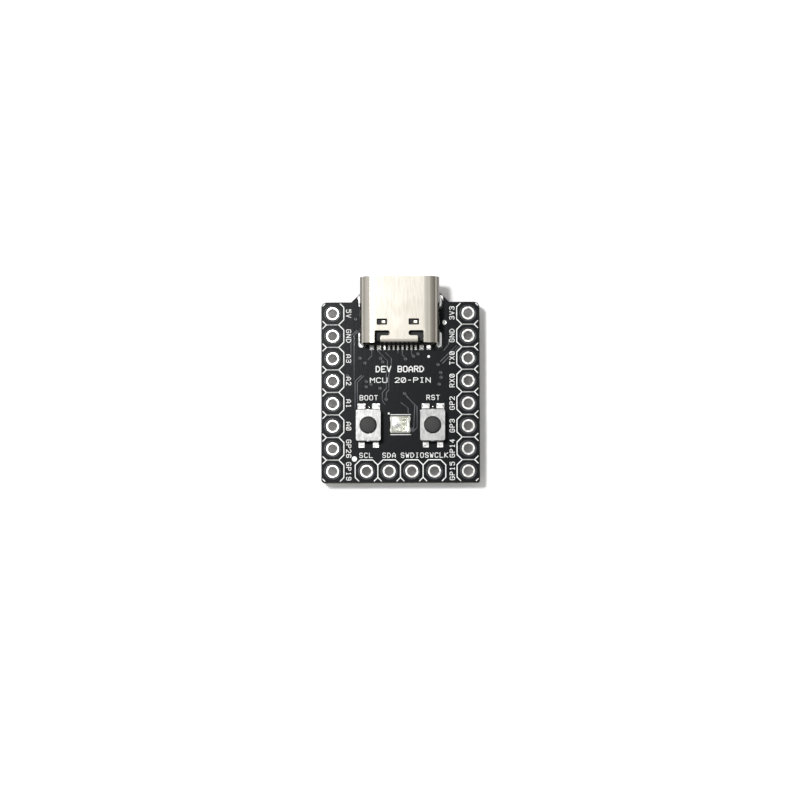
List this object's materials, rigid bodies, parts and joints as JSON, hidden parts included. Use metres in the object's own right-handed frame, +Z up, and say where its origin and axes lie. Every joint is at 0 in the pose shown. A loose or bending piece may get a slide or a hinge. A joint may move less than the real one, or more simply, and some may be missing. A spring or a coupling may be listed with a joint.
{
  "type": "microcontroller development board",
  "caption": "Small black microcontroller board with a USB-C receptacle, two push buttons, an RGB LED and rows of plated header holes round its edge.",
  "frame": {"origin": "middle of the whole part's footprint, in the plane that it stands on: the undersides of the tallest parts below the board", "axes": "+X to the right seen from above with the USB-C mouth away from you, +Y out of the USB-C mouth, +Z up out of the upper side"},
  "size_m": [0.0178, 0.023, 0.006],
  "materials": {
    "solder_mask": "black solder mask, satin, over glass-fibre laminate",
    "shell_steel": "drawn stainless steel, satin, slightly warm",
    "plate_steel": "stamped stainless steel",
    "spring_steel": "thin stainless spring steel",
    "black_resin": "moulded glass-filled nylon",
    "contact_gold": "gold-plated copper alloy",
    "terminal_tin": "tinned copper alloy, bright",
    "plunger_resin": "dark moulded resin, matt",
    "cover_steel": "stamped stainless steel, matt",
    "white_resin": "white reflective moulding resin",
    "clear_resin": "clear cast encapsulant",
    "silicon": "polished silicon",
    "emitter": "light-emitting die",
    "chip_epoxy": "black transfer-moulded epoxy",
    "crystal_ceramic": "dark alumina package",
    "lid_metal": "seam-welded nickel-plated lid",
    "capacitor_ceramic": "tan barium titanate body with tinned ends",
    "resistor_black": "alumina chip with a black glaze and tinned ends",
    "ferrite": "grey-black ferrite",
    "pad_tin": "hot-tinned copper pads, rings and hole barrels",
    "solder": "reflowed solder, bright",
    "legend_ink": "white printed legend",
    "masked_copper": "copper traces under the solder mask"
  },
  "bodies": {
    "board": {"circuit_board": "solder_mask", "usb_shell": "shell_steel", "usb_moulding": "black_resin", "usb_mid_plate": "plate_steel", "usb_contact_01": "contact_gold", "usb_contact_02": "contact_gold", "usb_contact_03": "contact_gold", "usb_contact_04": "contact_gold", "usb_contact_05": "contact_gold", "usb_contact_06": "contact_gold", "usb_contact_07": "contact_gold", "usb_contact_08": "contact_gold", "usb_contact_09": "contact_gold", "usb_contact_10": "contact_gold", "usb_contact_11": "contact_gold", "usb_contact_12": "contact_gold", "boot_button_base": "black_resin", "boot_button_centre_contact": "terminal_tin", "boot_button_ring_contact": "terminal_tin", "boot_button_snap_dome": "spring_steel", "boot_button_cover": "cover_steel", "reset_button_base": "black_resin", "reset_button_centre_contact": "terminal_tin", "reset_button_ring_contact": "terminal_tin", "reset_button_snap_dome": "spring_steel", "reset_button_cover": "cover_steel", "led_carrier": "white_resin", "led_lens": "clear_resin", "led_driver_die": "silicon", "led_red_die": "emitter", "led_green_die": "emitter", "led_blue_die": "emitter", "microcontroller": "chip_epoxy", "flash_chip": "chip_epoxy", "regulator": "chip_epoxy", "diode": "chip_epoxy", "crystal_base": "crystal_ceramic", "crystal_lid": "lid_metal", "inductor": "ferrite", "bulk_capacitor_1": "capacitor_ceramic", "bulk_capacitor_2": "capacitor_ceramic", "fuse": "ferrite", "capacitor_01": "capacitor_ceramic", "capacitor_02": "capacitor_ceramic", "capacitor_03": "capacitor_ceramic", "capacitor_04": "capacitor_ceramic", "capacitor_05": "capacitor_ceramic", "capacitor_06": "capacitor_ceramic", "capacitor_07": "capacitor_ceramic", "capacitor_08": "capacitor_ceramic", "capacitor_09": "capacitor_ceramic", "capacitor_10": "capacitor_ceramic", "resistor_1": "resistor_black", "resistor_2": "resistor_black", "resistor_3": "resistor_black", "resistor_4": "resistor_black", "resistor_5": "resistor_black", "resistor_6": "resistor_black"},
    "boot_plunger": {"boot_button_plunger": "plunger_resin"},
    "reset_plunger": {"reset_button_plunger": "plunger_resin"}
  },
  "joints": [
    {"name": "boot_press", "type": "slide", "parent": "board", "child": "boot_plunger", "axis": [0, 0, -1], "range_m": [0, 0.0002], "stiffness_N_per_m": 8000, "deforming": ["boot_button_snap_dome"]},
    {"name": "reset_press", "type": "slide", "parent": "board", "child": "reset_plunger", "axis": [0, 0, -1], "range_m": [0, 0.0002], "stiffness_N_per_m": 8000, "deforming": ["reset_button_snap_dome"]}
  ]
}
